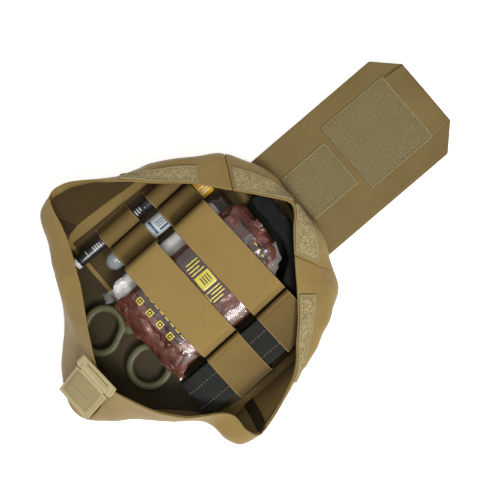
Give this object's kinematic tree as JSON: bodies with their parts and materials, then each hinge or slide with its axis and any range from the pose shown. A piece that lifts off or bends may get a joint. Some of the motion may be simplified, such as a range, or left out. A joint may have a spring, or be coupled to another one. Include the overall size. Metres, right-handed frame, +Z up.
{
  "type": "stocked trauma pouch with tourniquet",
  "caption": "Open horizontal trauma pouch with a folding hook flap, pull tab and elastic organiser that holds a folded tourniquet, bandage, gauze, needle case, marker and shears.",
  "frame": {"origin": "middle of the pouch's back, on the outer face of the middle webbing row, which rests on the ground", "axes": "+X along the elastic bands, +Y out along the open flap, +Z up out of the mouth"},
  "size_m": [0.2877, 0.4499, 0.0772],
  "materials": {
    "laminate_fabric": "smooth laminated nylon, coyote tan, soft sheen",
    "hem_tape": "folded nylon hem tape with stitching",
    "loop_tape": "fuzzy loop tape, coyote",
    "hook_tape": "low-profile hook tape, light coyote",
    "elastic_webbing": "woven elastic, golden tan, ribbed edges",
    "back_webbing": "flat nylon webbing, coyote",
    "tab_laminate": "pale stiff laminate",
    "snap_metal": "dark snap fasteners",
    "marker_plastic": "satin black",
    "marker_plug": "white",
    "marker_felt": "felt",
    "clear_tube": "clear moulded plastic",
    "cap_yellow": "ridged yellow plastic",
    "hub_plastic": "moulded",
    "needle_steel": "polished",
    "label_paper": null,
    "gauze": "white cotton gauze",
    "clear_film": "crinkled clear film",
    "brown_foil": "vacuum-drawn brown foil laminate, creased",
    "dressing": "folded dressing",
    "black_webbing": "black nylon webbing with tan lockstitch rows",
    "black_plastic": "moulded, satin",
    "keeper_tape": "light grey strap",
    "shear_steel": "stainless",
    "olive_plastic": "satin olive plastic",
    "black_knit": "black knitted elastic wrap"
  },
  "bodies": {
    "root": {"back_panel": "laminate_fabric", "back_webbing_upper": "back_webbing", "back_webbing_middle": "back_webbing", "back_webbing_lower": "back_webbing", "back_strap_left": "back_webbing", "back_strap_right": "back_webbing", "strap_snaps": "snap_metal", "wall_top": "laminate_fabric", "wall_right": "laminate_fabric", "wall_front_right": "laminate_fabric", "wall_front": "laminate_fabric", "wall_front_left": "laminate_fabric", "wall_left": "laminate_fabric", "hem_top": "hem_tape", "hem_right": "hem_tape", "hem_front_right": "hem_tape", "hem_front_left": "hem_tape", "hem_left": "hem_tape", "loop_patch_top_left": "loop_tape", "loop_patch_top_right": "loop_tape", "loop_patch_left": "loop_tape", "loop_patch_right": "loop_tape", "organiser_panel": "laminate_fabric", "elastic_band_upper": "elastic_webbing", "elastic_band_lower": "elastic_webbing", "elastic_wrap": "black_knit"},
    "flap_lower": {"flap_lower": "laminate_fabric", "hook_panel_small": "hook_tape"},
    "flap_upper": {"flap_upper": "laminate_fabric", "hook_panel_large": "hook_tape", "flap_pull_strip": "laminate_fabric"},
    "pull_tab": {"tab_strap": "laminate_fabric", "tab_grip": "tab_laminate", "tab_hook_patch": "hook_tape"},
    "marker": {"marker_barrel": "marker_plastic", "marker_end_plug": "marker_plug", "marker_nib": "marker_felt", "marker_reservoir": "marker_felt"},
    "marker_cap": {"marker_cap": "marker_plastic"},
    "needle_case": {"needle_case_tube": "clear_tube", "needle_hub": "hub_plastic", "needle_cannula": "needle_steel", "needle_label": "label_paper"},
    "needle_cap": {"needle_case_cap": "cap_yellow"},
    "gauze": {"gauze_roll": "gauze", "gauze_wrapper": "clear_film"},
    "bandage": {"bandage_foil": "brown_foil", "bandage_dressing": "dressing"},
    "tourniquet": {"tourniquet_strap": "black_webbing", "tourniquet_plate": "black_plastic", "tourniquet_windlass": "black_plastic", "tourniquet_clip": "black_plastic", "tourniquet_buckle": "black_plastic", "tourniquet_keeper": "keeper_tape"},
    "shears": {"shear_blade_left": "shear_steel", "shear_handle_left": "olive_plastic", "shear_pivot": "shear_steel"},
    "shear_right": {"shear_blade_right": "shear_steel", "shear_handle_right": "olive_plastic"}
  },
  "joints": [
    {"name": "flap_root_hinge", "type": "hinge", "parent": "root", "child": "flap_lower", "pos_m": [0, 0.143, 0.0036], "axis": [1, 0, 0], "range_deg": [0, 90]},
    {"name": "flap_fold_hinge", "type": "hinge", "parent": "flap_lower", "child": "flap_upper", "pos_m": [0, 0.203, 0.0036], "axis": [1, 0, 0], "range_deg": [0, 90]},
    {"name": "pull_tab_hinge", "type": "hinge", "parent": "root", "child": "pull_tab", "pos_m": [0.009, -0.1407, 0.0201], "axis": [1, 0, 0], "range_deg": [0, 120]},
    {"name": "marker_slide", "type": "slide", "parent": "root", "child": "marker", "axis": [0, 1, 0], "range_m": [-0.006, 0]},
    {"name": "marker_cap_pull", "type": "slide", "parent": "marker", "child": "marker_cap", "axis": [0, 1, 0], "range_m": [0, 0.006]},
    {"name": "needle_case_slide", "type": "slide", "parent": "root", "child": "needle_case", "axis": [0, 1, 0], "range_m": [0, 0.012]},
    {"name": "needle_cap_turn", "type": "hinge", "parent": "needle_case", "child": "needle_cap", "pos_m": [-0.068, 0.08, 0.0164], "axis": [0, 1, 0], "range_deg": [0, 180]},
    {"name": "gauze_slide", "type": "slide", "parent": "root", "child": "gauze", "axis": [0, 1, 0], "range_m": [0, 0.018]},
    {"name": "bandage_slide", "type": "slide", "parent": "root", "child": "bandage", "axis": [0, -1, 0], "range_m": [0, 0.022]},
    {"name": "tourniquet_slide", "type": "slide", "parent": "root", "child": "tourniquet", "axis": [0, -1, 0], "range_m": [0, 0.004]},
    {"name": "shears_slide", "type": "slide", "parent": "root", "child": "shears", "axis": [0, -1, 0], "range_m": [0, 0.006]},
    {"name": "shears_pivot", "type": "hinge", "parent": "shears", "child": "shear_right", "pos_m": [0.005, -0.01, 0.0103], "axis": [0, 0, 1], "range_deg": [0, 10]}
  ]
}
